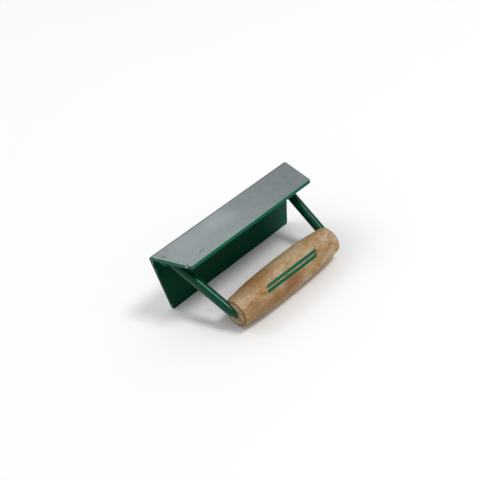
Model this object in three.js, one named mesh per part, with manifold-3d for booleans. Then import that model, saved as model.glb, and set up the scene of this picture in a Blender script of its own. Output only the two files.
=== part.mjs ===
// Concrete edger: a sheet-steel angle whose two outer faces smooth the fresh concrete,
// a round-bar bail welded into the angle, and a turned wooden handle threaded on the bail.
// Millimetres, +Z up. X runs along the ridge of the angle, the handle is on the -Y side,
// and the origin is the middle of the footprint on the surface that the tool stands on.
import * as THREE from 'three';
import { mergeVertices } from 'three/addons/utils/BufferGeometryUtils.js';
import Module from 'manifold-3d';

// Blade: one piece of sheet bent at a right angle
const BLADE_LENGTH = 150;
const TOP_WIDTH = 38;
const SIDE_HEIGHT = 57;
const SHEET = 3;
const BEND_OUTER = 3.5;
const TOP_CUTBACK = 9;
const SIDE_CUTBACK = 8.5;
const CORNER_RADIUS = 2;

// Bail: one round bar, bent at both ends of the handle
const BAR_DIAMETER = 8;
const BAR_BEND = 5;
const CROSSING_HALF = 54;
const FOOT_HALF = 61.8;
const FOOT_HEIGHT = 49.3;

// Handle: turned wood, bored through, with a slot across each end for the bar
const HANDLE_LENGTH = 108;
const HANDLE_DIAMETER = 29;
const HANDLE_END_DIAMETER = 22.4;
const HANDLE_END_ROUNDING = 1.5;
const HANDLE_SWELL = 2.7;
const HANDLE_BORE = 9;
const HANDLE_SLOT = 9.2;
const HANDLE_REACH = 61.5;

// Weld collar round each foot of the bail
const WELD_DIAMETER = 16;
const WELD_RISE = 5;
const WELD_SINK = 6;
const WELD_TOE = 0.5;

const GAP = 0.3;

// How finely curves are divided
const BARREL_SIDES = 64;
const BARREL_STATIONS = 20;
const BARREL_CORNER_STEPS = 3;
const BAR_SIDES = 24;
const BEND_STEPS = 10;
const CORNER_STEPS = 6;
const COLLAR_SIDES = 32;
const COLLAR_STEPS = 6;

// Places that follow from the sizes above
const DEPTH = HANDLE_REACH + HANDLE_DIAMETER / 2;
const OUTER_Y = DEPTH / 2;
const INNER_Y = OUTER_Y - SHEET;
const FREE_EDGE_Y = OUTER_Y - TOP_WIDTH;
const INNER_Z = SIDE_HEIGHT - SHEET;
const BEND_Y = OUTER_Y - BEND_OUTER;
const BEND_Z = SIDE_HEIGHT - BEND_OUTER;
const HANDLE_Y = OUTER_Y - HANDLE_REACH;
const HANDLE_Z = HANDLE_DIAMETER / 2;
const BAR_RADIUS = BAR_DIAMETER / 2;

const wasm = await Module();
wasm.setup();

const steel = new THREE.MeshStandardMaterial({ color: '#8d9797', roughness: 0.45, metalness: 0.9 });
const enamel = new THREE.MeshStandardMaterial({ color: '#0d5c40', roughness: 0.3, metalness: 0.1 });
const bead = new THREE.MeshStandardMaterial({ color: '#0b4a34', roughness: 0.4, metalness: 0.1 });
const wood = new THREE.MeshStandardMaterial({ color: '#b99f78', roughness: 0.6, metalness: 0 });

// A closed geometry as a solid that can be joined and cut
function solidOf(geometry) {
  const bare = geometry.clone();
  bare.deleteAttribute('normal');
  bare.deleteAttribute('uv');
  const merged = mergeVertices(bare);
  return new wasm.Manifold(new wasm.Mesh({
    numProp: 3,
    vertProperties: merged.attributes.position.array,
    triVerts: Uint32Array.from(merged.index.array),
  }));
}

function geometryOf(solid) {
  const mesh = solid.getMesh();
  const geometry = new THREE.BufferGeometry();
  geometry.setAttribute('position', new THREE.BufferAttribute(mesh.vertProperties, 3));
  geometry.setIndex(new THREE.BufferAttribute(mesh.triVerts, 1));
  geometry.computeVertexNormals();
  return geometry;
}

function named(name, geometry, material) {
  const mesh = new THREE.Mesh(geometry, material);
  mesh.name = name;
  return mesh;
}

function box(low, high) {
  const size = new THREE.Vector3().subVectors(high, low);
  const middle = new THREE.Vector3().addVectors(low, high).multiplyScalar(0.5);
  return new THREE.BoxGeometry(size.x, size.y, size.z).translate(middle.x, middle.y, middle.z);
}

// Half of a plate's outline as pairs of half length and distance from the free edge:
// a rounded corner on the free edge, then straight out to the full length at the bend.
function halfOutline(bendDistance, cutback) {
  const freeHalf = BLADE_LENGTH / 2 - cutback;
  const rise = new THREE.Vector2(cutback, bendDistance).setLength(CORNER_RADIUS);
  const corner = new THREE.QuadraticBezierCurve(
    new THREE.Vector2(freeHalf - CORNER_RADIUS, 0),
    new THREE.Vector2(freeHalf, 0),
    new THREE.Vector2(freeHalf + rise.x, rise.y));
  return corner.getPoints(CORNER_STEPS);
}

// The blade's cross-section as rows from the top free edge round the bend to the side free edge.
// Each row has its half length and its points on the outer and the inner surface.
function bladeRows() {
  const half = BLADE_LENGTH / 2;
  const inner = BEND_OUTER - SHEET;
  const rows = [];
  for (const point of halfOutline(BEND_Y - FREE_EDGE_Y, TOP_CUTBACK)) {
    const y = FREE_EDGE_Y + point.y;
    rows.push({ half: point.x, outer: [y, SIDE_HEIGHT], inner: [y, INNER_Z] });
  }
  for (let i = 0; i <= BEND_STEPS; i += 1) {
    const turn = i / BEND_STEPS * Math.PI / 2;
    const y = Math.sin(turn);
    const z = Math.cos(turn);
    rows.push({
      half,
      outer: [BEND_Y + BEND_OUTER * y, BEND_Z + BEND_OUTER * z],
      inner: [BEND_Y + inner * y, BEND_Z + inner * z],
    });
  }
  for (const point of halfOutline(BEND_Z, SIDE_CUTBACK).reverse()) {
    rows.push({ half: point.x, outer: [OUTER_Y, point.y], inner: [INNER_Y, point.y] });
  }
  return rows;
}

// A ring of four corners a row, joined to the ring of the row before, and closed at both free edges
function bladeGeometry() {
  const rows = bladeRows();
  const positions = [];
  for (const { half, outer, inner } of rows) {
    positions.push(-half, ...outer, half, ...outer, half, ...inner, -half, ...inner);
  }
  const index = [];
  const quad = (a, b, c, d) => index.push(a, b, c, a, c, d);
  const corners = 4;
  for (let row = 1; row < rows.length; row += 1) {
    for (let corner = 0; corner < corners; corner += 1) {
      const here = corners * row + corner;
      const next = corners * row + (corner + 1) % corners;
      quad(here - corners, next - corners, next, here);
    }
  }
  const last = corners * (rows.length - 1);
  quad(3, 2, 1, 0);
  quad(last, last + 1, last + 2, last + 3);
  const geometry = new THREE.BufferGeometry();
  geometry.setAttribute('position', new THREE.Float32BufferAttribute(positions, 3));
  geometry.setIndex(index);
  geometry.computeVertexNormals();
  return geometry;
}

// The circular bend between two straight stretches, in their common plane
class Bend extends THREE.Curve {
  constructor(centre, start, end) {
    super();
    this.centre = centre;
    this.from = new THREE.Vector3().subVectors(start, centre);
    this.to = new THREE.Vector3().subVectors(end, centre);
    this.turn = this.from.angleTo(this.to);
  }

  getPoint(t, target = new THREE.Vector3()) {
    const share = Math.sin(this.turn);
    target.copy(this.from).multiplyScalar(Math.sin((1 - t) * this.turn) / share);
    target.addScaledVector(this.to, Math.sin(t * this.turn) / share);
    return target.add(this.centre);
  }
}

// Curves end to end, each given its own number of steps, so straight stretches take only one
class SteppedPath extends THREE.Curve {
  constructor(stretches) {
    super();
    this.stretches = stretches;
    this.steps = stretches.reduce((sum, stretch) => sum + stretch.steps, 0);
  }

  getPoint(t, target = new THREE.Vector3()) {
    let step = t * this.steps;
    let index = 0;
    while (index < this.stretches.length - 1 && step > this.stretches[index].steps) {
      step -= this.stretches[index].steps;
      index += 1;
    }
    const { curve, steps } = this.stretches[index];
    return curve.getPoint(Math.min(step / steps, 1), target);
  }

  getPointAt(u, target) {
    return this.getPoint(u, target);
  }

  getTangentAt(u, target) {
    return this.getTangent(u, target);
  }
}

// One side of the bail: the unit vector up its leg, where its bend starts and ends,
// and the middle of the square-cut end that meets the side plate
function leg(side) {
  const corner = new THREE.Vector3(side * CROSSING_HALF, HANDLE_Y, HANDLE_Z);
  const foot = new THREE.Vector3(side * FOOT_HALF, INNER_Y, FOOT_HEIGHT);
  const up = new THREE.Vector3().subVectors(foot, corner).normalize();
  const along = new THREE.Vector3(side, 0, 0);
  const turn = along.angleTo(up);
  const tangent = BAR_BEND * Math.tan(turn / 2);
  const bendStart = corner.clone().addScaledVector(along, -tangent);
  const bendEnd = corner.clone().addScaledVector(up, tangent);
  const inward = new THREE.Vector3().subVectors(up, along).normalize();
  const centre = corner.clone().addScaledVector(inward, BAR_BEND / Math.cos(turn / 2));
  const reach = (INNER_Y - GAP - BAR_RADIUS * Math.sqrt(1 - up.y ** 2) - corner.y) / up.y;
  const end = corner.clone().addScaledVector(up, reach);
  return { up, bendStart, bendEnd, centre, end };
}

function bailGeometry(diameter) {
  const left = leg(-1);
  const right = leg(1);
  const path = new SteppedPath([
    { curve: new THREE.LineCurve3(left.end, left.bendEnd), steps: 1 },
    { curve: new Bend(left.centre, left.bendEnd, left.bendStart), steps: BEND_STEPS },
    { curve: new THREE.LineCurve3(left.bendStart, right.bendStart), steps: 1 },
    { curve: new Bend(right.centre, right.bendStart, right.bendEnd), steps: BEND_STEPS },
    { curve: new THREE.LineCurve3(right.bendEnd, right.end), steps: 1 },
  ]);
  const section = new THREE.Shape().absarc(0, 0, diameter / 2, 0, 2 * Math.PI, false);
  const settings = { steps: path.steps, curveSegments: BAR_SIDES / 2, extrudePath: path };
  return new THREE.ExtrudeGeometry(section, settings);
}

// The turned barrel with its bore, as a closed profile of (radius, distance from the middle)
function barrelProfile() {
  const half = HANDLE_LENGTH / 2;
  const endRadius = HANDLE_END_DIAMETER / 2;
  const swell = HANDLE_DIAMETER / 2 - endRadius;
  const barrelHalf = half - HANDLE_END_ROUNDING;
  const outline = new THREE.Path();
  outline.moveTo(HANDLE_BORE / 2, -half);
  outline.lineTo(endRadius - HANDLE_END_ROUNDING, -half);
  outline.absarc(endRadius - HANDLE_END_ROUNDING, -barrelHalf, HANDLE_END_ROUNDING, -Math.PI / 2, 0, false);
  for (let i = 1; i < BARREL_STATIONS; i += 1) {
    const place = barrelHalf * (2 * i / BARREL_STATIONS - 1);
    outline.lineTo(endRadius + swell * (1 - Math.abs(place / half) ** HANDLE_SWELL), place);
  }
  outline.lineTo(endRadius, barrelHalf);
  outline.absarc(endRadius - HANDLE_END_ROUNDING, barrelHalf, HANDLE_END_ROUNDING, 0, Math.PI / 2, false);
  outline.lineTo(HANDLE_BORE / 2, half);
  outline.lineTo(HANDLE_BORE / 2, -half);
  return outline.getPoints(BARREL_CORNER_STEPS);
}

function handleGeometry() {
  const barrel = new THREE.LatheGeometry(barrelProfile(), BARREL_SIDES);
  barrel.rotateZ(-Math.PI / 2).translate(0, HANDLE_Y, HANDLE_Z);
  return geometryOf(solidOf(barrel).subtract(solidOf(bailGeometry(HANDLE_SLOT))));
}

// A concave collar of weld metal round the foot, trimmed clear of the plates and the bar
function weldGeometry(side) {
  const { up, end } = leg(side);
  const inner = BAR_RADIUS + GAP;
  const outline = new THREE.Path();
  outline.moveTo(inner, -WELD_SINK);
  outline.lineTo(inner, WELD_RISE);
  outline.lineTo(inner + WELD_TOE, WELD_RISE);
  outline.quadraticCurveTo(inner + WELD_TOE, 0, WELD_DIAMETER / 2, -WELD_TOE);
  outline.lineTo(WELD_DIAMETER / 2, -WELD_SINK);
  outline.lineTo(inner, -WELD_SINK);
  const collar = new THREE.LatheGeometry(outline.getPoints(COLLAR_STEPS).reverse(), COLLAR_SIDES);
  const down = up.clone().negate();
  collar.applyQuaternion(new THREE.Quaternion().setFromUnitVectors(new THREE.Vector3(0, 1, 0), down));
  collar.translate(end.x, end.y, end.z);
  const low = new THREE.Vector3(-BLADE_LENGTH, -DEPTH, -SIDE_HEIGHT);
  const high = new THREE.Vector3(BLADE_LENGTH, INNER_Y - GAP, INNER_Z - GAP);
  return geometryOf(solidOf(collar).intersect(solidOf(box(low, high))));
}

const edger = new THREE.Group();
edger.add(named('blade', bladeGeometry(), steel));
edger.add(named('bail', bailGeometry(BAR_DIAMETER), enamel));
edger.add(named('handle', handleGeometry(), wood));
edger.add(named('left_weld', weldGeometry(-1), bead));
edger.add(named('right_weld', weldGeometry(1), bead));

export default edger;
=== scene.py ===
"""Looks of the concrete edger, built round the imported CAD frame. Metres, +Z up."""
import math
import random

import bmesh
import bpy
import numpy as np
from mathutils import Matrix, Vector, noise


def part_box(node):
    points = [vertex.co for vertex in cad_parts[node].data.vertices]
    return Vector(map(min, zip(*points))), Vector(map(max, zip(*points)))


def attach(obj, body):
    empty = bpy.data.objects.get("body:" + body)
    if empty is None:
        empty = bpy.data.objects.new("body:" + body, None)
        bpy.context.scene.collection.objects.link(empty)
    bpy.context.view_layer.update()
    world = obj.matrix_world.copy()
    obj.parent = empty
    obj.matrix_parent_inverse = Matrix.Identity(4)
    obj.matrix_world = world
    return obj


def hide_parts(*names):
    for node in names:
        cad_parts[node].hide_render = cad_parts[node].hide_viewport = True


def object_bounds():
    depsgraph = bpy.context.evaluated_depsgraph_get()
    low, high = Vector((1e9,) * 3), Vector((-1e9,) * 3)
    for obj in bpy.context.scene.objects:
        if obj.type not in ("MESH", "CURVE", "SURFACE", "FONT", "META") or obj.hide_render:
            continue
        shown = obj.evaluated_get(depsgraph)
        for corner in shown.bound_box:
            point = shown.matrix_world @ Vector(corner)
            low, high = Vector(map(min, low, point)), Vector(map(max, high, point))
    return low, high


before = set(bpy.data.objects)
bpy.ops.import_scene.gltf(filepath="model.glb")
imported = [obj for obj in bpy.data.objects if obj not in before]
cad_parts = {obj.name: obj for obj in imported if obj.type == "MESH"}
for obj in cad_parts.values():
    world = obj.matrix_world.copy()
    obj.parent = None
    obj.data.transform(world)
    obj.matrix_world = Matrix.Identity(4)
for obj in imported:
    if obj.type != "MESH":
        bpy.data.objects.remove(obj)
CAD_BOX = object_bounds()

MM = 0.001
TOUCH = 0.01 * MM
QUARTER_TURN = math.pi / 2
FULL_TURN = 2 * math.pi
MIDDLE = (CAD_BOX[0] + CAD_BOX[1]) / 2
BLADE_LOW, BLADE_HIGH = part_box("blade")
HANDLE_LOW, HANDLE_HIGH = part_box("handle")
AXIS = (HANDLE_LOW + HANDLE_HIGH) / 2

# Blade: one sheet, bent to an angle along the ridge
SHEET = 3 * MM
BEND_OUTER = 3.5 * MM
TOP_CUTBACK = 9 * MM
SIDE_CUTBACK = 8.5 * MM
CORNER_RADIUS = 2 * MM
ARRIS = 0.35 * MM
EDGE_BULGE = 0.05 * MM
INNER_ROOF = BLADE_HIGH.z - SHEET
INNER_WALL = BLADE_HIGH.y - SHEET

# Bail: one round bar, bent twice
BAR_RADIUS = 4 * MM
BAR_BEND = 5 * MM
BAR_CHAMFER = 0.48 * MM
BAR_ROUGHNESS = 0.05 * MM
BAR_SHORT_OF_PLATE = 0.3 * MM
CROSSING_HALF = 54 * MM
FOOT_HALF = 61.8 * MM
FOOT_HEIGHT = 49.3 * MM

# Handle: a turned barrel, bored and slotted for the bar
HANDLE_HALF = HANDLE_HIGH.x
HANDLE_SWELL = 2.7
END_RADIUS = 11.2 * MM
END_ROUNDING = 1.2 * MM
SLOT_RADIUS = 4.6 * MM
BORE_DEPTH = 1.2 * MM


# ---------------------------------------------------------------- camera and light

CAMERA_AZIMUTH = math.radians(-39.301)
CAMERA_ELEVATION = math.radians(35.844)
CAMERA_ROLL = math.radians(11.004)
CAMERA_DISTANCE = 0.80266
CAMERA_LENS = 77.7015
CAMERA_CLIP = (0.01, 50)
CAMERA_AIM = MIDDLE + Vector((-5.73, 13.16, 9.07)) * MM

WORLD_COLOUR = (1.0, 1.0, 1.0)
WORLD_STRENGTH = 0.60
# Name, size (m), power (W), azimuth and elevation (degrees), distance (m)
LIGHTS = [
    ("key", (0.75, 0.75), 38.0, 30, 62, 3.0),
    ("behind", (1.6, 1.2), 18.0, 200, 48, 3.0),
]


def direction(azimuth, elevation):
    """Unit vector from the object towards a viewer at that azimuth and elevation."""
    level = math.cos(elevation)
    return Vector((math.sin(azimuth) * level, -math.cos(azimuth) * level, math.sin(elevation)))


def make_camera():
    back = direction(CAMERA_AZIMUTH, CAMERA_ELEVATION)
    level_right = Vector((0, 0, 1)).cross(back).normalized()
    level_up = back.cross(level_right)
    cosine, sine = math.cos(CAMERA_ROLL), math.sin(CAMERA_ROLL)
    right = level_right * cosine - level_up * sine
    up = level_up * cosine + level_right * sine
    data = bpy.data.cameras.new("camera")
    data.lens = CAMERA_LENS
    data.clip_start, data.clip_end = CAMERA_CLIP
    camera = bpy.data.objects.new("camera", data)
    bpy.context.scene.collection.objects.link(camera)
    turn = Matrix((right, up, back)).transposed().to_4x4()
    camera.matrix_world = Matrix.Translation(CAMERA_AIM + back * CAMERA_DISTANCE) @ turn
    bpy.context.scene.camera = camera


def area_light(name, size, power, azimuth, elevation, distance):
    data = bpy.data.lights.new(name, "AREA")
    data.shape = "RECTANGLE"
    data.size, data.size_y = size
    data.energy = power
    light = bpy.data.objects.new(name, data)
    bpy.context.scene.collection.objects.link(light)
    away = direction(math.radians(azimuth), math.radians(elevation))
    light.location = MIDDLE + away * distance
    light.rotation_mode = "QUATERNION"
    light.rotation_quaternion = away.to_track_quat("Z", "Y")


def make_world():
    world = bpy.data.worlds.new("studio")
    world.use_nodes = True
    background = world.node_tree.nodes["Background"]
    background.inputs["Color"].default_value = (*WORLD_COLOUR, 1)
    background.inputs["Strength"].default_value = WORLD_STRENGTH
    bpy.context.scene.world = world


# ---------------------------------------------------------------- material nodes


class Shader:
    """A material's node tree, built by short calls that return output sockets."""

    def __init__(self, name):
        self.material = bpy.data.materials.new(name)
        self.material.use_nodes = True
        self.tree = self.material.node_tree
        self.surface = self.tree.nodes["Principled BSDF"]
        self.coords = self.add("ShaderNodeTexCoord").outputs["Object"]

    def put(self, socket, value):
        if isinstance(value, bpy.types.NodeSocket):
            self.tree.links.new(value, socket)
        else:
            socket.default_value = value

    def add(self, kind, values=None, **settings):
        node = self.tree.nodes.new(kind)
        for key, value in settings.items():
            setattr(node, key, value)
        for key, value in (values or {}).items():
            self.put(node.inputs[key], value)
        return node

    def set(self, **values):
        for key, value in values.items():
            self.put(self.surface.inputs[key.replace("_", " ")], value)

    def math(self, operation, a, b=0.0):
        return self.add("ShaderNodeMath", {0: a, 1: b}, operation=operation).outputs[0]

    def plus(self, a, b):
        return self.math("ADD", a, b)

    def minus(self, a, b):
        return self.math("SUBTRACT", a, b)

    def times(self, a, b):
        return self.math("MULTIPLY", a, b)

    def larger(self, a, b):
        return self.math("MAXIMUM", a, b)

    def place(self, scale, shift=(0, 0, 0), turn=(0, 0, 0), vector=None):
        """Coordinates turned, scaled and shifted. The object's own, unless a vector is given."""
        values = {"Vector": vector or self.coords, "Location": shift, "Rotation": turn, "Scale": scale}
        return self.add("ShaderNodeMapping", values).outputs[0]

    def noise(self, scale, detail, rough=0.5, distort=0.0, **placing):
        values = {"Vector": self.place(scale, **placing), "Scale": 1.0, "Detail": detail}
        values.update({"Roughness": rough, "Distortion": distort})
        return self.add("ShaderNodeTexNoise", values).outputs["Fac"]

    def cells(self, scale, **placing):
        values = {"Vector": self.place(scale, **placing), "Scale": 1.0}
        return self.add("ShaderNodeTexVoronoi", values).outputs["Distance"]

    def ramp(self, value, low, high, at_low=0.0, at_high=1.0):
        """A smooth step from at_low to at_high as the value goes from low to high."""
        values = {"Value": value, "From Min": low, "From Max": high, "To Min": at_low, "To Max": at_high}
        return self.add("ShaderNodeMapRange", values, interpolation_type="SMOOTHSTEP").outputs[0]

    def mix(self, share, a, b, blend="MIX"):
        node = self.add("ShaderNodeMix", data_type="RGBA", blend_type=blend)
        self.put(node.inputs["Factor"], share)
        self.put(node.inputs[6], colour4(a))
        self.put(node.inputs[7], colour4(b))
        return node.outputs[2]

    def blend(self, share, a, b):
        node = self.add("ShaderNodeMix", data_type="FLOAT")
        self.put(node.inputs["Factor"], share)
        self.put(node.inputs[2], a)
        self.put(node.inputs[3], b)
        return node.outputs[0]

    def rim(self):
        """Distance in millimetres to the nearest edge of the piece, stored on its mesh."""
        return self.add("ShaderNodeAttribute", attribute_name="rim", attribute_type="GEOMETRY").outputs["Fac"]

    def split(self, vector):
        return tuple(self.add("ShaderNodeSeparateXYZ", {0: vector}).outputs)

    def spot(self, centre, size, edge, wobble):
        """A soft patch in millimetres round a point of the object, 1 inside and 0 outside."""
        shift = tuple(-c / s for c, s in zip(centre, size))
        scaled = self.place(tuple(1 / (s * MM) for s in size), shift)
        reach = self.add("ShaderNodeVectorMath", {0: scaled}, operation="LENGTH").outputs["Value"]
        return self.ramp(self.plus(reach, wobble), 1 + edge, 1 - edge)

    def marks(self, colour, table, edge, wobble):
        """Patches laid over a colour: middle and half size (mm), colour and strength."""
        for centre, size, tone, strength in table:
            patch = self.times(self.spot(centre, size, edge, wobble), strength)
            colour = self.mix(patch, colour, tone)
        return colour

    def layers(self, colour, table):
        """Tones laid over a colour: a pattern, where its ramp starts and ends, the share, the tone."""
        for pattern, low, high, share, tone in table:
            colour = self.mix(self.ramp(pattern, low, high, 0.0, share), colour, tone)
        return colour

    def bump(self, height, distance, strength):
        values = {"Height": height, "Distance": distance, "Strength": strength}
        return self.add("ShaderNodeBump", values).outputs[0]


def colour4(value):
    return value if isinstance(value, bpy.types.NodeSocket) else (*value, 1)


# ---------------------------------------------------------------- enamel

ENAMEL = (0.0028, 0.085, 0.038)
ENAMEL_THIN = (0.0028, 0.072, 0.032)
# Painted shade for the inside of the angle, and a painted reflection that lightens it towards the far end
ENAMEL_PAINTED_SHADE = (0.0008, 0.042, 0.018)
ENAMEL_PAINTED_FAR_REFLECTION = (0.018, 0.090, 0.066)
# Painted light: a brighter band on the top plate's cut edge, greyer and lighter towards the near end
ENAMEL_EDGE_PAINTED_LIT = (0.0060, 0.125, 0.070)
ENAMEL_GREYER = (0.055, 0.130, 0.115)
ENAMEL_BAR = (0.0010, 0.045, 0.017)
ENAMEL_BAR_THIN = (0.0010, 0.037, 0.014)
BAR_SHEEN = (0.50, 1.0, 0.84, 1)
CHIP = (0.50, 0.42, 0.42)
# A near-black patch at the near corner of the top plate's cut edge
NEAR_BLACK = (0.012, 0.014, 0.014)
ENAMEL_IOR = 1.5
ENAMEL_RELIEF = 0.05 * MM

# On the near corner of the top plate: middle and half size (mm)
KNOCK = ((-68.0, 4.2, 55.8), (1.2, 1.4, 1.3))
NEAR_BLACK_SPOT = ((-67.4, 2.4, 54.4), (2.2, 2.4, 1.0))


def enamel_clouds(shader):
    """Where the coat is thick and smooth, and where it is thin and dull."""
    return shader.noise((70, 70, 70), 3.0, 0.55)


def enamel_colour(shader, clouds, thin, thick):
    return shader.mix(shader.ramp(clouds, 0.35, 0.7), thin, thick)


def enamel_roughness(shader, clouds, smoothest, roughest):
    return shader.ramp(clouds, 0.3, 0.75, roughest, smoothest)


def enamel_height(shader):
    """Runs of the brush with fine orange peel over them."""
    fine = shader.noise((900, 900, 900), 2.0)
    runs = shader.noise((220, 120, 120), 2.0)
    return shader.plus(shader.times(fine, 0.25), runs)


def bar_enamel_material():
    shader = Shader("green_enamel_bar")
    clouds = enamel_clouds(shader)
    shader.set(Base_Color=enamel_colour(shader, clouds, ENAMEL_BAR_THIN, ENAMEL_BAR))
    shader.set(Roughness=enamel_roughness(shader, clouds, 0.18, 0.23), IOR=ENAMEL_IOR)
    shader.set(Specular_IOR_Level=0.40, Specular_Tint=BAR_SHEEN)
    shader.set(Normal=shader.bump(enamel_height(shader), ENAMEL_RELIEF, 0.6))
    return shader.material


def blade_enamel_material():
    """Enamel inside the angle and on the cut edges: painted shade darkens the inside, a painted reflection
    lightens it towards the far end, and a painted lit band on the top plate's cut edge greys towards the near
    end; knocked at the near end.
    """
    shader = Shader("green_enamel_blade")
    rim = shader.rim()
    x, _, z = shader.split(shader.coords)
    on_edge = shader.times(shader.ramp(rim, 1.9, 1.5), shader.ramp(z, INNER_ROOF - SHEET, INNER_ROOF))
    # Painted light: the top plate's cut edge is a brighter lit band, greyer and lighter towards the near end.
    painted_lit_edge = shader.mix(shader.ramp(x, -55 * MM, -68 * MM, 0.0, 0.45), ENAMEL_EDGE_PAINTED_LIT, ENAMEL_GREYER)
    # Painted shade inside the angle, lightened towards the far end by a painted reflection of the open floor.
    colour = shader.mix(shader.ramp(x, 30 * MM, 66 * MM, 0.0, 0.8), ENAMEL_PAINTED_SHADE, ENAMEL_PAINTED_FAR_REFLECTION)
    colour = shader.mix(on_edge, colour, painted_lit_edge)

    ragged = shader.noise((1100, 1100, 1100), 4.0, 0.65)
    patches = shader.noise((160, 160, 160), 2.0)
    near_edge = shader.times(shader.ramp(rim, 0.9, 0.0), shader.ramp(x, -62 * MM, -68 * MM))
    bare = shader.times(near_edge, shader.ramp(patches, 0.54, 0.66))
    wobble = shader.times(shader.minus(ragged, 0.5), 1.6)
    chip = shader.times(bare, shader.ramp(ragged, 0.42, 0.55))
    chip = shader.larger(chip, shader.spot(*KNOCK, 0.12, wobble))
    # A near-black patch on the top plate's cut edge at the near corner.
    near_black = shader.times(shader.spot(*NEAR_BLACK_SPOT, 0.25, wobble), on_edge)
    colour = shader.mix(chip, shader.mix(near_black, colour, NEAR_BLACK), CHIP)

    rough = enamel_roughness(shader, enamel_clouds(shader), 0.12, 0.18)
    height = shader.minus(enamel_height(shader), shader.times(chip, 2.0))
    shader.set(Base_Color=colour, Roughness=shader.blend(chip, rough, 0.5))
    shader.set(Metallic=shader.times(chip, 0.6), IOR=ENAMEL_IOR, Specular_IOR_Level=0.04)
    shader.set(Normal=shader.bump(height, ENAMEL_RELIEF, 0.6))
    return shader.material


# ---------------------------------------------------------------- steel

STEEL_DARK = (0.35, 0.405, 0.413)
STEEL_LIGHT = (0.47, 0.532, 0.54)
STEEL_CLOUD = (0.38, 0.435, 0.44)
STEEL_FINE = (0.50, 0.56, 0.56)
STEEL_SCRATCH = (0.74, 0.76, 0.76)
STEEL_FAR_DARKENING = (0.72, 0.73, 0.735)
# Painted dark reflection for the bend and the far arris
STEEL_SHADED = (0.17, 0.19, 0.19)
STEEL_STAINED = (0.56, 0.50, 0.50)
STEEL_RELIEF = 0.03 * MM
PAINT_FLECK = ((-65.6, 4.9, 57), (0.75, 0.6, 0.75))

# Smudges and scuffs on the top face
STEEL_MARKS = [
    ((-13.0, 25.0, 57.0), (14.0, 9.0, 6.0), (0.58, 0.65, 0.655), 0.38),
    ((-46.0, 24.0, 57.0), (15.0, 8.0, 6.0), (0.54, 0.60, 0.60), 0.22),
    ((-48.0, 7.5, 57.0), (2.6, 1.0, 2.0), (0.17, 0.20, 0.20), 0.50),
    ((-69.5, 27.5, 57.0), (1.3, 2.4, 2.0), (0.16, 0.18, 0.18), 0.50),
    ((-63.0, 31.0, 57.0), (2.8, 0.8, 2.0), (0.20, 0.22, 0.22), 0.35),
    ((58.0, 19.5, 57.0), (3.4, 1.1, 2.0), (0.20, 0.22, 0.22), 0.30),
    ((8.0, 27.0, 57.0), (12.0, 5.0, 6.0), (0.27, 0.30, 0.31), 0.25),
]


def steel_tone(shader, mottle, fine, rim):
    """Ground steel, darker towards the far end, with scratches, marks and a painted dark reflection along the
    line of the bend and the far arris.
    """
    clouds = shader.noise((34, 60, 60), 3.0, 0.5)
    scratch = shader.noise((9, 900, 900), 1.0, turn=(0, 0, math.radians(14)))
    tone = shader.mix(shader.ramp(mottle, 0.30, 0.72), STEEL_DARK, STEEL_LIGHT)
    tone = shader.layers(tone, [
        (clouds, 0.35, 0.70, 0.45, STEEL_CLOUD),
        (fine, 0.35, 0.65, 0.14, STEEL_FINE),
        (scratch, 0.695, 0.72, 0.22, STEEL_SCRATCH),
    ])
    x, y, z = shader.split(shader.coords)
    # Darker towards the far end.
    tone = shader.mix(shader.ramp(x, -30 * MM, 60 * MM), tone, STEEL_FAR_DARKENING, "MULTIPLY")
    tone = shader.marks(tone, STEEL_MARKS, 0.6, shader.times(shader.minus(mottle, 0.5), 2.2))
    # Painted reflection: the bend and the far arris are darkened as if they reflected dark surroundings.
    bend_y, bend_z = BLADE_HIGH.y - BEND_OUTER, BLADE_HIGH.z - BEND_OUTER
    bend_dark_reflection = shader.times(shader.ramp(y, bend_y - 1.0 * MM, bend_y + 0.8 * MM, 0.0, 0.8),
                             shader.ramp(z, bend_z - 1.0 * MM, bend_z + 0.8 * MM))
    far_arris_dark_reflection = shader.times(shader.ramp(rim, 0.8, 0.2, 0.0, 0.8), shader.ramp(x, 0.0, 50 * MM))
    return shader.mix(shader.larger(bend_dark_reflection, far_arris_dark_reflection), tone, STEEL_SHADED)


def steel_material():
    """Bare ground steel outside, with the enamel of the cut edges lapping ragged over its rim."""
    shader = Shader("bare_steel_ground")
    rim = shader.rim()
    fine = shader.noise((160, 2600, 2600), 3.0, 0.6)
    mottle = shader.noise((330, 360, 360), 4.0, 0.66, 0.4)
    pits = shader.cells((420, 420, 420))
    ragged = shader.noise((650, 650, 650), 4.0, 0.7)
    patches = shader.noise((95, 95, 95), 2.0)

    reach = shader.ramp(patches, 0.35, 0.75, 0.05, 0.9)
    lap = shader.ramp(shader.minus(rim, shader.times(reach, ragged)), 0.18, 0.0)
    paint = shader.larger(lap, shader.spot(*PAINT_FLECK, 0.3, shader.minus(ragged, 0.5)))
    stained = shader.times(shader.ramp(rim, 2.2, 0.3), shader.ramp(ragged, 0.40, 0.70, 0.0, 0.55))
    tone = shader.mix(stained, steel_tone(shader, mottle, fine, rim), STEEL_STAINED)
    clouds = enamel_clouds(shader)
    tone = shader.mix(paint, tone, enamel_colour(shader, clouds, ENAMEL_THIN, ENAMEL))
    rough = shader.ramp(mottle, 0.25, 0.75, 0.52, 0.40)
    rough = shader.blend(paint, rough, enamel_roughness(shader, clouds, 0.15, 0.22))

    height = shader.plus(shader.times(fine, 0.5), shader.times(mottle, 0.8))
    height = shader.minus(height, shader.ramp(pits, 0.16, 0.0, 0.0, 0.6))
    height = shader.plus(height, shader.times(paint, 1.5))
    shader.set(Base_Color=tone, Roughness=rough, Metallic=shader.minus(1.0, paint))
    shader.set(Normal=shader.bump(height, STEEL_RELIEF, 0.5))
    return shader.material


# ---------------------------------------------------------------- wood

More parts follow.
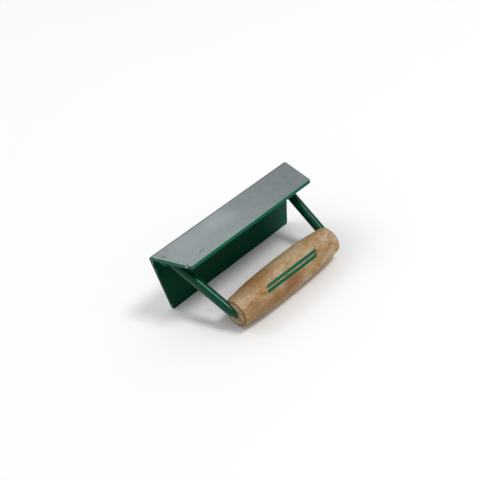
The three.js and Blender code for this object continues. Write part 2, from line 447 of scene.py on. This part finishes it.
WOOD_LIGHT = (0.50, 0.375, 0.232)
WOOD_TAN = (0.38, 0.237, 0.095)
WOOD_BROWN = (0.205, 0.099, 0.030)
WOOD_RED = (0.24, 0.085, 0.028)
WOOD_GREY = (0.27, 0.20, 0.125)
WOOD_PALE = (0.56, 0.45, 0.31)
WOOD_BURNT = (0.10, 0.045, 0.020)
END_GREY = (0.27, 0.20, 0.12)
END_DARK = (0.10, 0.065, 0.035)
END_PALE = (0.50, 0.41, 0.29)
END_PORE = (0.12, 0.07, 0.035)
# Painted shade: near black for the bore and the slots round the bar
BORE_SHADE_DARK = (0.010, 0.006, 0.004)
BORE_SHADE_LIGHT = (0.030, 0.018, 0.011)
WOOD_RELIEF = 0.06 * MM
END_RELIEF = 0.08 * MM

# Growth rings run round a line well outside the handle, tilted a little against its axis (mm)
PITH = (0.0, 34.0, -40.0)
RING_PITCH = 3.1
RING_TILT = math.radians(7)
RING_SKEW = RING_TILT * 1.6
RING_DRIFT = 14.0
RING_WANDER = 2.2

# Stains, placed from the handle's axis
AXIS_Y, AXIS_Z = AXIS.y / MM, AXIS.z / MM
WOOD_STAINS = [
    ((-1.0, AXIS_Y - 14.5, AXIS_Z + 3.5), (10, 8, 5.5), WOOD_RED, 0.75),
    ((-20.0, AXIS_Y - 14.5, AXIS_Z + 0.5), (17, 8, 5), WOOD_BROWN, 0.60),
    ((-44.0, AXIS_Y - 12.0, AXIS_Z + 6.0), (6, 7, 5), WOOD_RED, 0.40),
    ((-38.0, AXIS_Y - 13.0, AXIS_Z - 2.5), (11, 8, 6), WOOD_BROWN, 0.50),
    ((-9.0, AXIS_Y - 14.2, AXIS_Z - 3.0), (15, 8, 5), WOOD_RED, 0.40),
    ((36.0, AXIS_Y - 13.0, AXIS_Z + 5.0), (8, 6, 2.5), WOOD_GREY, 0.30),
    ((-30.0, AXIS_Y + 3.0, AXIS_Z + 14.0), (26, 7, 6), WOOD_BROWN, 0.55),
    ((20.0, AXIS_Y + 8.0, AXIS_Z - 12.0), (20, 12, 8), WOOD_BROWN, 0.45),
]

# Two plain stripes: ends along the handle (mm), limits round it (degrees above level on the front)
PRINT_FROM, PRINT_TO = -27.0, 28.0
PRINT_STRIPES = ((29.5, 39.5), (43.5, 53.5))
PRINT_MIDDLE = 42.0
PRINT_TWIST = 0.075
PRINT_SLANT = 0.1375
PRINT_END_BLUR = 0.12
PRINT_SIDE_BLUR = 0.5
INK = (0.001, 0.100, 0.053)


def late_wood(shader, mm):
    """The dark late part of each growth ring."""
    drift = shader.noise((0.022, 0.05, 0.05), 2.0, vector=mm)
    wander = shader.noise((0.10, 0.24, 0.24), 2.0, vector=mm)
    leaned = shader.place((1, 1, 1), tuple(-c for c in PITH), (0, RING_TILT, RING_SKEW), mm)
    _, y, z = shader.split(leaned)
    radius = shader.math("SQRT", shader.plus(shader.times(y, y), shader.times(z, z)))
    radius = shader.plus(radius, shader.times(drift, RING_DRIFT))
    radius = shader.plus(radius, shader.times(wander, RING_WANDER))
    phase = shader.math("FRACT", shader.math("DIVIDE", radius, RING_PITCH))
    return shader.times(shader.ramp(phase, 0.5, 0.93), shader.ramp(phase, 1.0, 0.94))


def wood_colour(shader):
    """Place in millimetres from the handle's middle, colour, height and fibre pattern of the wood."""
    mm = shader.place((1 / MM,) * 3, tuple(-c / MM for c in AXIS))
    late = late_wood(shader, mm)
    fibre = shader.noise((0.16, 3.2, 3.2), 4.0, 0.65, vector=mm)
    silk = shader.noise((0.5, 9.0, 9.0), 2.0, 0.6, vector=mm)
    grain = shader.noise((0.42, 1.25, 1.25), 4.0, 0.75, shift=(4.0, 8.0, 2.0), vector=mm)
    clouds = shader.noise((0.055, 0.10, 0.10), 3.0, 0.55, 0.3, shift=(3.1, 0.4, 7.7), vector=mm)
    blotch = shader.noise((0.16, 0.26, 0.26), 4.0, 0.6, 0.5, shift=(9.0, 2.0, 1.0), vector=mm)
    flecks = shader.cells((0.45, 2.1, 2.1), vector=mm)
    colour = shader.mix(shader.ramp(clouds, 0.38, 0.62), WOOD_TAN, WOOD_LIGHT)
    colour = shader.layers(colour, [
        (blotch, 0.50, 0.72, 0.70, WOOD_BROWN),
        (blotch, 0.45, 0.30, 0.45, WOOD_PALE),
    ])
    colour = shader.mix(shader.times(late, 0.22), colour, WOOD_BROWN)
    colour = shader.layers(colour, [
        (fibre, 0.50, 0.74, 0.60, WOOD_BROWN),
        (grain, 0.50, 0.66, 0.60, WOOD_BROWN),
        (grain, 0.46, 0.32, 0.50, WOOD_PALE),
        (silk, 0.55, 0.85, 0.25, WOOD_LIGHT),
        (flecks, 0.20, 0.04, 0.55, WOOD_BROWN),
    ])
    wobble = shader.times(shader.minus(blotch, 0.5), 2.4)
    colour = shader.marks(colour, WOOD_STAINS, 0.6, wobble)
    height = shader.minus(shader.plus(fibre, shader.times(silk, 0.5)), shader.times(late, 0.35))
    return mm, colour, height, fibre


def print_mask(shader, mm, fibre):
    """Two plain stripes along the handle with slanted ends, worn where the fibres stand up."""
    x, y, z = shader.split(mm)
    degrees = shader.times(shader.math("ARCTAN2", z, shader.times(y, -1.0)), 180 / math.pi)
    degrees = shader.plus(degrees, shader.times(x, PRINT_TWIST))
    along = shader.minus(x, shader.times(shader.minus(degrees, PRINT_MIDDLE), PRINT_SLANT))

    def between(value, low, high, blur):
        return shader.times(shader.ramp(value, low - blur, low + blur),
                            shader.ramp(value, high + blur, high - blur))

    ends = between(along, PRINT_FROM, PRINT_TO, PRINT_END_BLUR)
    bands = [between(degrees, low, high, PRINT_SIDE_BLUR) for low, high in PRINT_STRIPES]
    worn = shader.ramp(fibre, 0.80, 0.68, 0.65, 1.0)
    return shader.times(shader.times(ends, shader.larger(*bands)), worn)


def wood_material():
    shader = Shader("handle_turned_wood")
    mm, colour, height, fibre = wood_colour(shader)
    ragged = shader.noise((0.5, 0.5, 0.5), 3.0, 0.6, vector=mm)
    burnt = shader.ramp(shader.minus(shader.rim(), ragged), 0.40, -0.35, 0.0, 0.75)
    ink = print_mask(shader, mm, fibre)
    colour = shader.mix(ink, shader.mix(burnt, colour, WOOD_BURNT), INK)
    rough = shader.blend(ink, shader.ramp(fibre, 0.3, 0.8, 0.50, 0.64), 0.42)
    shader.set(Base_Color=colour, Roughness=rough, Normal=shader.bump(height, WOOD_RELIEF, 0.7))
    shader.set(IOR=1.45, Specular_IOR_Level=0.18)
    return shader.material


def end_grain_material():
    shader = Shader("handle_end_grain")
    mm, colour, height, _ = wood_colour(shader)
    open_pores = shader.ramp(shader.cells((0.2, 3.4, 3.4), vector=mm), 0.22, 0.06)
    stain = shader.noise((0.25, 0.32, 0.32), 4.0, 0.65, shift=(1.0, 5.0, 3.0), vector=mm)
    ragged = shader.noise((0.6, 0.6, 0.6), 3.0, 0.6, vector=mm)
    burnt = shader.ramp(shader.minus(shader.rim(), ragged), 0.7, -0.3, 0.0, 0.8)
    colour = shader.layers(shader.mix(0.45, colour, END_GREY), [
        (stain, 0.48, 0.68, 0.75, END_DARK),
        (stain, 0.46, 0.30, 0.65, END_PALE),
    ])
    colour = shader.mix(shader.times(open_pores, 0.6), colour, END_PORE)
    colour = shader.mix(burnt, colour, WOOD_BURNT)
    height = shader.minus(height, open_pores)
    shader.set(Base_Color=colour, Roughness=0.72, Normal=shader.bump(height, END_RELIEF, 0.8))
    return shader.material


# Painted shade: the bore and slots are near black, for the shadowed gap round the bar.
def bore_shade_material():
    shader = Shader("handle_bore_painted_shade")
    shade_mottle = shader.noise((700, 700, 700), 3.0)
    shader.set(Base_Color=shader.mix(shade_mottle, BORE_SHADE_DARK, BORE_SHADE_LIGHT), Roughness=0.85)
    shader.set(Specular_IOR_Level=0.2)
    return shader.material


# ---------------------------------------------------------------- mesh helpers

SHARP = math.radians(38)
BLADE_SHARP = math.radians(60)
HANDLE_SHARP = math.radians(32)
WELD_SHARP = math.radians(50)


def make_object(name, points, faces, materials, face_slots=None, rim=None, sharp=SHARP):
    mesh = bpy.data.meshes.new(name)
    mesh.from_pydata([tuple(p) for p in points], [], [tuple(f) for f in faces])
    for material in materials:
        mesh.materials.append(material)
    if face_slots is not None:
        mesh.polygons.foreach_set("material_index", np.asarray(face_slots, np.int32))
    if rim is not None:
        store_rim(mesh, rim)
    smooth(mesh, sharp)
    return link_object(name, mesh)


def link_object(name, mesh):
    thing = bpy.data.objects.new(name, mesh)
    bpy.context.scene.collection.objects.link(thing)
    return thing


def store_rim(mesh, values):
    layer = mesh.attributes.new("rim", "FLOAT", "POINT")
    layer.data.foreach_set("value", np.asarray(values, np.float32))


def smooth(mesh, sharp):
    mesh.polygons.foreach_set("use_smooth", np.ones(len(mesh.polygons), bool))
    mesh.set_sharp_from_angle(angle=sharp)
    mesh.update()


def apply_modifiers(thing):
    graph = bpy.context.evaluated_depsgraph_get()
    mesh = bpy.data.meshes.new_from_object(thing.evaluated_get(graph))
    old = thing.data
    thing.modifiers.clear()
    thing.data = mesh
    mesh.name = thing.name
    bpy.data.meshes.remove(old)


def waver(x, y, z, scale, seed):
    """Smooth noise of about -1 to 1 at a point in millimetres."""
    return noise.noise(Vector((x / scale + seed, y / scale - seed, z / scale + 2 * seed)))


def bridge(first, second, flip=False):
    """Four-sided faces between two closed rings of point numbers."""
    count = len(first)
    faces = []
    for k in range(count):
        after = (k + 1) % count
        if flip:
            faces.append((first[k], first[after], second[after], second[k]))
        else:
            faces.append((first[k], second[k], second[after], first[after]))
    return faces


# ---------------------------------------------------------------- blade

TOP_FLAT = BLADE_HIGH.y - BEND_OUTER - BLADE_LOW.y
BEND_ARC = BEND_OUTER * QUARTER_TURN
SIDE_FLAT = BLADE_HIGH.z - BEND_OUTER - BLADE_LOW.z
GIRTH = TOP_FLAT + BEND_ARC + SIDE_FLAT
HALF_LENGTH = BLADE_HIGH.x
BLADE_COLUMNS = 121
BLADE_ROW_PITCH = 1.25 * MM
CORNER_STEPS = 7
BEND_STEPS = 16
ARRIS_STEPS = 4
WALL_SHARES = (0.3, 0.5, 0.7)
# The sheet's own unevenness: height, wavelength (mm), seed
SHEET_WAVES = ((0.10 * MM, 38, 3.3), (0.02 * MM, 9, 8.1))
STEEL_SLOT, ENAMEL_SLOT = 0, 1


def plate_edge(flat, cutback):
    """Half outline from the free edge to the bend: half length, distance from the free edge, normal."""
    slope = math.atan2(cutback, flat)
    free_half = HALF_LENGTH - cutback
    centre = free_half - CORNER_RADIUS * (1 - math.sin(slope)) / math.cos(slope)
    rows = []
    for step in range(CORNER_STEPS + 1):
        turn = -QUARTER_TURN + (QUARTER_TURN - slope) * step / CORNER_STEPS
        cosine, sine = math.cos(turn), math.sin(turn)
        rows.append((centre + CORNER_RADIUS * cosine, CORNER_RADIUS * (1 + sine), cosine, sine))
    start = rows[-1][1]
    count = round((flat - start) / BLADE_ROW_PITCH)
    for step in range(1, count + 1):
        rise = start + (flat - start) * step / count
        rows.append((free_half + rise * math.tan(slope), rise, math.cos(slope), -math.sin(slope)))
    return rows


def blade_rows():
    """Rows across the developed sheet: half length, distance along the girth, outline normal."""
    top = plate_edge(TOP_FLAT, TOP_CUTBACK)
    side = plate_edge(SIDE_FLAT, SIDE_CUTBACK)
    bend = [(HALF_LENGTH, TOP_FLAT + BEND_ARC * k / BEND_STEPS, 1.0, 0.0) for k in range(1, BEND_STEPS)]
    return top + bend + [(x, GIRTH - s, nx, -ns) for x, s, nx, ns in reversed(side)]


def blade_outline(rows, spread):
    """The rim once round: row and column in the grid, place on the flat sheet, outline normal."""
    last_row, last_column = len(rows) - 1, len(spread) - 1
    outline = [(0, j, u * rows[0][0], rows[0][1], 0.0, -1.0) for j, u in enumerate(spread)]
    for i in range(1, last_row):
        half, s, nx, ns = rows[i]
        outline.append((i, last_column, half, s, nx, ns))
    for j in reversed(range(len(spread))):
        outline.append((last_row, j, spread[j] * rows[-1][0], rows[-1][1], 0.0, 1.0))
    for i in reversed(range(1, last_row)):
        half, s, nx, ns = rows[i]
        outline.append((i, 0, -half, s, -nx, ns))
    return outline


def edge_profile():
    """The cut edge from the outer face to the inner: inset from the outline and depth in the sheet."""
    turns = [QUARTER_TURN * step / ARRIS_STEPS for step in range(ARRIS_STEPS + 1)]
    profile = [(ARRIS * (1 - math.sin(turn)), ARRIS * (1 - math.cos(turn))) for turn in turns[1:]]
    profile += [(-EDGE_BULGE, SHEET * share) for share in WALL_SHARES]
    profile += [(ARRIS * (1 - math.cos(turn)), SHEET - ARRIS * (1 - math.sin(turn))) for turn in turns[:-1]]
    return profile


def sheet_point(x, along, depth):
    """A point of the bent sheet from its place on the flat sheet and its depth below the outer face."""
    for height, wavelength, seed in SHEET_WAVES:
        depth += height * waver(x / MM, along / MM, 0, wavelength, seed)
    if along <= TOP_FLAT:
        return (x, BLADE_LOW.y + along, BLADE_HIGH.z - depth)
    turn = (along - TOP_FLAT) / BEND_OUTER
    if turn >= QUARTER_TURN:
        return (x, BLADE_HIGH.y - depth, BLADE_HIGH.z - BEND_OUTER - (along - TOP_FLAT - BEND_ARC))
    radius = BEND_OUTER - depth
    return (x, BLADE_HIGH.y - BEND_OUTER + radius * math.sin(turn),
            BLADE_HIGH.z - BEND_OUTER + radius * math.cos(turn))


def make_blade(steel, enamel):
    rows = blade_rows()
    spread = np.linspace(-1, 1, BLADE_COLUMNS)
    outline = blade_outline(rows, spread)
    points, rim, faces, slots = [], [], [], []

    def add_face(depth, least_rim):
        """One face of the sheet. Returns the number of its first point."""
        first = len(points)
        for half, s, nx, ns in rows:
            along = s - ARRIS * ns
            for u in spread:
                x = u * (half - ARRIS * nx)
                points.append(sheet_point(x, along, depth))
                reach = min(along, GIRTH - along, (half - abs(x)) * max(nx, 0.2))
                rim.append((max(reach, 0.0) + least_rim) / MM)
        return first

    def add_ring(inset, depth):
        start = len(points)
        for _, _, x, s, nx, ns in outline:
            points.append(sheet_point(x - inset * nx, s - inset * ns, depth))
            rim.append(min(depth, SHEET - depth) / MM)
        return list(range(start, len(points)))

    def border(first):
        return [first + i * BLADE_COLUMNS + j for i, j, *_ in outline]

    outer = add_face(0.0, 0.0)
    rings = [border(outer)] + [add_ring(inset, depth) for inset, depth in edge_profile()]
    inner = add_face(SHEET, SHEET / 2)
    rings.append(border(inner))
    for upper, lower in zip(rings, rings[1:]):
        faces += bridge(upper, lower)
    slots += [ENAMEL_SLOT] * len(faces)
    for i in range(len(rows) - 1):
        for j in range(BLADE_COLUMNS - 1):
            a, b = i * BLADE_COLUMNS + j, (i + 1) * BLADE_COLUMNS + j
            faces.append((outer + a, outer + a + 1, outer + b + 1, outer + b))
            faces.append((inner + a, inner + b, inner + b + 1, inner + a + 1))
            slots += [STEEL_SLOT, ENAMEL_SLOT]
    return make_object("blade_sheet", points, faces, [steel, enamel], slots, rim, BLADE_SHARP)


# ---------------------------------------------------------------- bail

BAR_STEP = 1.2 * MM
BAR_SIDES = 56
CUTTER_STEP = 1.5 * MM
CUTTER_SIDES = 48
# The bar's unevenness: share of the roughness, wavelength (mm), seed
BAR_WAVES = ((0.7, 14, 5.0), (0.3, 4, 1.0))


def leg(side):
    """Sharp corner of the bar's middle line, its foot on the plate, and the way from one to the other."""
    corner = Vector((side * CROSSING_HALF, AXIS.y, AXIS.z))
    foot = Vector((side * FOOT_HALF, INNER_WALL, FOOT_HEIGHT))
    return corner, foot, (foot - corner).normalized()


def leg_path(side, step, beyond):
    """Points down one leg and round its bend."""
    corner, foot, up = leg(side)
    out = Vector((side, 0, 0))
    turn = out.angle(up)
    tangent = BAR_BEND * math.tan(turn / 2)
    centre = corner + (up - out).normalized() * (BAR_BEND / math.cos(turn / 2))
    start, end = corner + up * tangent, corner - out * tangent
    slack = BAR_RADIUS * math.sqrt(1 - up.y ** 2) / up.y
    top = foot - up * slack + up * beyond
    count = max(2, round((top - start).length / step))
    stretch = [top.lerp(start, k / count) for k in range(count)]
    arc_count = max(8, round(BAR_BEND * turn / step * 1.6))
    first, second = start - centre, end - centre
    arc = first.angle(second)
    for k in range(arc_count + 1):
        share = k / arc_count
        point = first * math.sin((1 - share) * arc) + second * math.sin(share * arc)
        stretch.append(centre + point / math.sin(arc))
    return stretch


def bail_path(step, beyond=0.0):
    """Points along the bar's middle from the left foot to the right, closer together round the bends."""
    left, right = leg_path(-1, step, beyond), leg_path(1, step, beyond)
    count = max(2, round((right[-1] - left[-1]).length / (2 * step)))
    middle = [left[-1].lerp(right[-1], k / count) for k in range(1, count)]
    return left + middle + right[::-1]


def path_rings(path, radius):
    """Place, direction, sideways direction and radius of each ring, with a small chamfer at both ends."""
    tangent = (path[1] - path[0]).normalized()
    across = tangent.orthogonal().normalized()
    rings = []
    for index, place in enumerate(path):
        ahead = path[min(index + 1, len(path) - 1)]
        behind = path[max(index - 1, 0)]
        new_tangent = (ahead - behind).normalized()
        across = (tangent.rotation_difference(new_tangent) @ across).normalized()
        across = (across - new_tangent * across.dot(new_tangent)).normalized()
        tangent = new_tangent
        rings.append((place, tangent, across, radius))
    (start, start_way, start_side, _), (end, end_way, end_side, _) = rings[0], rings[-1]
    rings[0] = (start + start_way * BAR_CHAMFER, start_way, start_side, radius)
    rings[-1] = (end - end_way * BAR_CHAMFER, end_way, end_side, radius)
    rings.insert(0, (start, start_way, start_side, radius - BAR_CHAMFER))
    rings.append((end, end_way, end_side, radius - BAR_CHAMFER))
    return rings


def sweep(path, radius, sides, rough=0.0):
    """Points and faces of a round bar along a path, closed by flat ends."""
    rings = path_rings(path, radius)
    points, faces = [], []
    for place, tangent, across, reach in rings:
        other = tangent.cross(across)
        for k in range(sides):
            turn = FULL_TURN * k / sides
            ray = across * math.cos(turn) + other * math.sin(turn)
            spot = place + ray * reach
            if rough:
                waves = [waver(*(spot / MM), size, seed) * share for share, size, seed in BAR_WAVES]
                spot += ray * rough * sum(waves)
            points.append(spot)
    numbers = [list(range(i * sides, (i + 1) * sides)) for i in range(len(rings))]
    for before, after in zip(numbers, numbers[1:]):
        faces += bridge(before, after, flip=True)
    faces.append(tuple(reversed(numbers[0])))
    faces.append(tuple(numbers[-1]))
    return points, faces


def make_bail(enamel):
    path = bail_path(BAR_STEP, -BAR_SHORT_OF_PLATE)
    points, faces = sweep(path, BAR_RADIUS, BAR_SIDES, BAR_ROUGHNESS)
    return make_object("bail_bar", points, faces, [enamel])


# ---------------------------------------------------------------- handle

HANDLE_SIDES = 144
HANDLE_STATIONS = 150
ROUNDING_STEPS = 6
FACE_SHARES = (0.96, 0.9, 0.8, 0.65, 0.5, 0.35)
ROUND_MM = 14
INSIDE_RIM = 6.0
# The barrel's unevenness: height and how far it is drawn out along the axis, wavelength (mm), seed
BARREL_WAVES = ((0.05 * MM, 0.35, 7, 2.2), (0.03 * MM, 0.1, 2.6, 6.2), (0.10 * MM, 1.0, 20, 4.4))
WOOD_SLOT, FACE_SLOT, BORE_SLOT = 0, 1, 2


def barrel_radius(x):
    share = min(abs(x) / HANDLE_HALF, 1.0)
    swell = (HANDLE_HIGH.z - HANDLE_LOW.z) / 2 - END_RADIUS
    return END_RADIUS + swell * (1 - share ** HANDLE_SWELL)


def barrel_profile():
    """Place along the axis and radius of each ring, and the radius of the flat end."""
    straight = HANDLE_HALF - END_ROUNDING
    end = []
    for step in range(1, ROUNDING_STEPS + 1):
        turn = QUARTER_TURN * step / ROUNDING_STEPS
        reach = barrel_radius(straight) - END_ROUNDING * (1 - math.cos(turn)) * 0.9
        end.append((straight + END_ROUNDING * math.sin(turn), reach))
    face_radius = end[-1][1]
    end += [(HANDLE_HALF, face_radius * share) for share in FACE_SHARES]
    places = [straight * (2 * i / HANDLE_STATIONS - 1) for i in range(HANDLE_STATIONS + 1)]
    profile = [(-x, reach) for x, reach in reversed(end)]
    return profile + [(x, barrel_radius(x)) for x in places] + end, face_radius


def make_barrel(profile, face_radius, materials):
    points, faces = [], []
    for x, reach in profile:
        for k in range(HANDLE_SIDES):
            turn = FULL_TURN * k / HANDLE_SIDES
            y, z = math.cos(turn), math.sin(turn)
            uneven = sum(height * waver(x / MM * drawn, ROUND_MM * y, ROUND_MM * z, size, seed)
                         for height, drawn, size, seed in BARREL_WAVES)
            grown = reach + uneven * min(1.0, reach / face_radius)
            points.append((x, AXIS.y + grown * y, AXIS.z + grown * z))
    numbers = [list(range(i * HANDLE_SIDES, (i + 1) * HANDLE_SIDES)) for i in range(len(profile))]
    for before, after in zip(numbers, numbers[1:]):
        faces += bridge(before, after)
    faces.append(tuple(numbers[0]))
    faces.append(tuple(reversed(numbers[-1])))
    return make_object("handle_barrel", points, faces, materials)


def make_handle(materials):
    """The barrel with the bar's path cut out of it: the bore, and the slots in its ends."""
    profile, face_radius = barrel_profile()
    handle = make_barrel(profile, face_radius, materials)
    cutter_points, cutter_faces = sweep(bail_path(CUTTER_STEP), SLOT_RADIUS, CUTTER_SIDES)
    cutter = make_object("slot_cutter", cutter_points, cutter_faces, materials)
    cut = handle.modifiers.new("slots", "BOOLEAN")
    cut.operation = "DIFFERENCE"
    cut.solver = "EXACT"
    cut.object = cutter
    apply_modifiers(handle)
    bpy.data.objects.remove(cutter)
    finish_handle(handle.data, face_radius)
    return handle


def finish_handle(mesh, face_radius):
    """End grain on the end faces, painted shade (near black) in the bore and slots, and the distance to the
    rim of each face.
    """

    def radius_at(place):
        return math.hypot(place.y - AXIS.y, place.z - AXIS.z)

    def inside(place):
        return radius_at(place) < barrel_radius(place.x) - BORE_DEPTH

    def on_end(place):
        return abs(place.x) > HANDLE_HALF - TOUCH

    rim = []
    for vertex in mesh.vertices:
        if on_end(vertex.co):
            rim.append(max(face_radius - radius_at(vertex.co), 0.0) / MM)
        elif inside(vertex.co):
            rim.append(INSIDE_RIM)
        else:
            rim.append(max(HANDLE_HALF - abs(vertex.co.x), 0.0) / MM)
    store_rim(mesh, rim)
    for polygon in mesh.polygons:
        if on_end(polygon.center):
            polygon.material_index = FACE_SLOT
        else:
            polygon.material_index = BORE_SLOT if inside(polygon.center) else WOOD_SLOT
    smooth(mesh, HANDLE_SHARP)


# ---------------------------------------------------------------- welds

# Rings of beads: set back from the plate, reach from the bar's middle, bead radius (mm), count
WELD_RINGS = ((0.3, 6.3, 1.35, 19), (1.2, 5.2, 1.7, 18), (2.8, 4.4, 1.25, 17), (4.2, 4.1, 0.75, 16))
WELD_JITTER = 0.25
WELD_SPREAD = (0.82, 1.18)
WELD_VOXEL = 0.32 * MM
WELD_SOFTENING = 4
WELD_SUNK = 0.05 * MM


def make_weld(name, side, enamel, seed):
    """A lumpy fillet: overlapping beads round the foot of the bar, fused and pressed against the plates."""
    rng = random.Random(seed)
    _, foot, up = leg(side)
    across = Vector((1, 0, 0))
    across = (across - up * across.dot(up)).normalized()
    other = up.cross(across)
    group = bmesh.new()
    for back, reach, size, count in WELD_RINGS:
        for k in range(count):
            turn = FULL_TURN * (k + rng.uniform(-WELD_JITTER, WELD_JITTER)) / count
            ray = across * math.cos(turn) + other * math.sin(turn)
            lift = -up * ((back + rng.uniform(-WELD_JITTER, WELD_JITTER)) * MM)
            spot = foot + lift + ray * (reach * MM)
            spot += up * ((foot.y - spot.y) / up.y - back * MM)
            radius = size * MM * rng.uniform(*WELD_SPREAD)
            matrix = Matrix.Translation(spot) @ Matrix.Scale(radius, 4)
            bmesh.ops.create_icosphere(group, subdivisions=2, radius=1.0, matrix=matrix)
    mesh = bpy.data.meshes.new(name)
    group.to_mesh(mesh)
    group.free()
    weld = link_object(name, mesh)
    fuse = weld.modifiers.new("fuse", "REMESH")
    fuse.mode = "VOXEL"
    fuse.voxel_size = WELD_VOXEL
    soften = weld.modifiers.new("soften", "SMOOTH")
    soften.iterations = WELD_SOFTENING
    apply_modifiers(weld)
    for vertex in weld.data.vertices:
        vertex.co.y = min(vertex.co.y, INNER_WALL + WELD_SUNK)
        vertex.co.z = min(vertex.co.z, INNER_ROOF + WELD_SUNK)
    weld.data.materials.append(enamel)
    smooth(weld.data, WELD_SHARP)
    return weld


# ---------------------------------------------------------------- stage

FLOOR_HALF = 25.0
FLOOR_DARK = (0.90, 0.90, 0.90)
FLOOR_LIGHT = (0.92, 0.92, 0.92)


def floor_material():
    shader = Shader("pale_floor")
    mottle = shader.noise((3, 3, 3), 3.0)
    shader.set(Base_Color=shader.mix(mottle, FLOOR_DARK, FLOOR_LIGHT), Roughness=0.75)
    shader.set(Specular_IOR_Level=0.2)
    return shader.material


def make_floor():
    corners = [(-1, -1), (1, -1), (1, 1), (-1, 1)]
    points = [(x * FLOOR_HALF, y * FLOOR_HALF, 0) for x, y in corners]
    floor = make_object("floor", points, [(0, 1, 2, 3)], [floor_material()])
    floor.location.z = CAD_BOX[0].z


make_camera()
make_world()
for light in LIGHTS:
    area_light(*light)
bpy.context.scene.view_settings.view_transform = "Standard"
make_floor()

bar_enamel = bar_enamel_material()
blade = make_blade(steel_material(), blade_enamel_material())
bail = make_bail(bar_enamel)
handle = make_handle([wood_material(), end_grain_material(), bore_shade_material()])
left_weld = make_weld("left_weld_bead", -1, bar_enamel, 11)
right_weld = make_weld("right_weld_bead", 1, bar_enamel, 23)

PIECES = [
    (blade, "blade", "bare_steel"),
    (bail, "bail", "green_enamel"),
    (handle, "handle", "handle_wood"),
    (left_weld, "left_weld", "green_enamel"),
    (right_weld, "right_weld", "green_enamel"),
]
for piece, node, slot in PIECES:
    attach(piece, "root")
    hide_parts(node)
